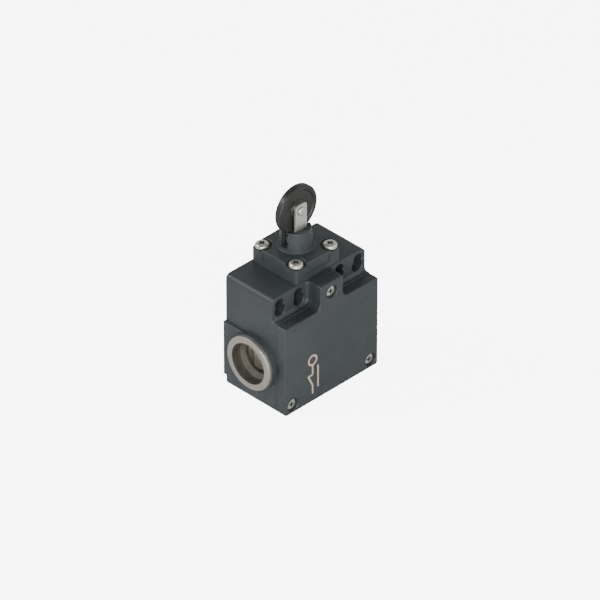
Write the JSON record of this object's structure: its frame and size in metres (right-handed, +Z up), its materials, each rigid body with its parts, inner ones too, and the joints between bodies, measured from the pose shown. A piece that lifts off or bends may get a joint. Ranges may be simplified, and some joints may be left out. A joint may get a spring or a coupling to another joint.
{
  "type": "limit switch",
  "caption": "Metal limit switch with a spring-return roller plunger, a slotted turret head, fixing slots, side cable entries and a contact block inside.",
  "frame": {"origin": "centre of the bottom face, midway between the sides and between the cover's front and the mounting back", "axes": "+Z up along the plunger's travel, +X to the right seen from the cover side, +Y from the cover to the mounting back"},
  "size_m": [0.058, 0.0322, 0.085],
  "materials": {
    "painted_casting": "fine textured grey paint on a die casting",
    "bright_steel": "zinc plated or stainless, bright",
    "spring_steel": "drawn wire and strip",
    "roller_plastic": "moulded, satin",
    "seal_rubber": "moulded",
    "slide_plastic": "moulded acetal",
    "block_plastic": "moulded",
    "brass": "stamped strip"
  },
  "bodies": {
    "root": {"housing": "painted_casting", "cover": "painted_casting", "cover_gasket": "seal_rubber", "cover_screw_left": "bright_steel", "cover_screw_right": "bright_steel", "cover_screw_top": "bright_steel", "head": "painted_casting", "head_seal": "seal_rubber", "head_screw_front_left": "bright_steel", "head_screw_front_right": "bright_steel", "head_screw_rear_left": "bright_steel", "head_screw_rear_right": "bright_steel", "guide_bush": "slide_plastic", "stem_seal": "seal_rubber", "spring_seat": "spring_steel", "return_spring": "spring_steel", "block_base": "block_plastic", "block_cap": "block_plastic", "carrier_spring": "spring_steel", "terminal_closed_left": "brass", "terminal_closed_right": "brass", "terminal_open_left": "brass", "terminal_open_right": "brass", "clamp_closed_left": "bright_steel", "clamp_closed_right": "bright_steel", "clamp_open_left": "bright_steel", "clamp_open_right": "bright_steel", "terminal_screw_closed_left": "bright_steel", "terminal_screw_closed_right": "bright_steel", "terminal_screw_open_left": "bright_steel", "terminal_screw_open_right": "bright_steel", "block_screw_upper": "bright_steel", "block_screw_lower": "bright_steel", "earth_washer": "brass", "earth_screw": "brass"},
    "plunger": {"roller_fork": "bright_steel", "plunger_stem": "bright_steel", "roller_axle": "bright_steel"},
    "roller": {"roller": "roller_plastic"},
    "carrier": {"contact_carrier": "slide_plastic", "closed_bridge": "brass", "closed_bridge_spring": "spring_steel", "open_bridge_spring": "spring_steel"},
    "open_bridge": {"open_bridge": "brass"}
  },
  "joints": [
    {"name": "plunger_slide", "type": "slide", "parent": "root", "child": "plunger", "axis": [0, 0, -1], "range_m": [0, 0.0045], "stiffness_N_per_m": 1000, "springref_m": -0.004, "deforming": ["return_spring"]},
    {"name": "roller_spin", "type": "hinge", "parent": "plunger", "child": "roller", "pos_m": [0, 0.00325, 0.0749], "axis": [0, 1, 0], "continuous": true},
    {"name": "carrier_slide", "type": "slide", "parent": "root", "child": "carrier", "axis": [0, 0, -1], "range_m": [0, 0.0045], "deforming": ["carrier_spring"]},
    {"name": "open_bridge_slide", "type": "slide", "parent": "root", "child": "open_bridge", "axis": [0, 0, -1], "range_m": [0, 0.0026], "deforming": ["open_bridge_spring"]}
  ],
  "couplings": [
    {"joint": "carrier_slide", "follows": "plunger_slide", "ratio": 1},
    {"joint": "open_bridge_slide", "follows": "plunger_slide", "ratio": 0.5777}
  ]
}
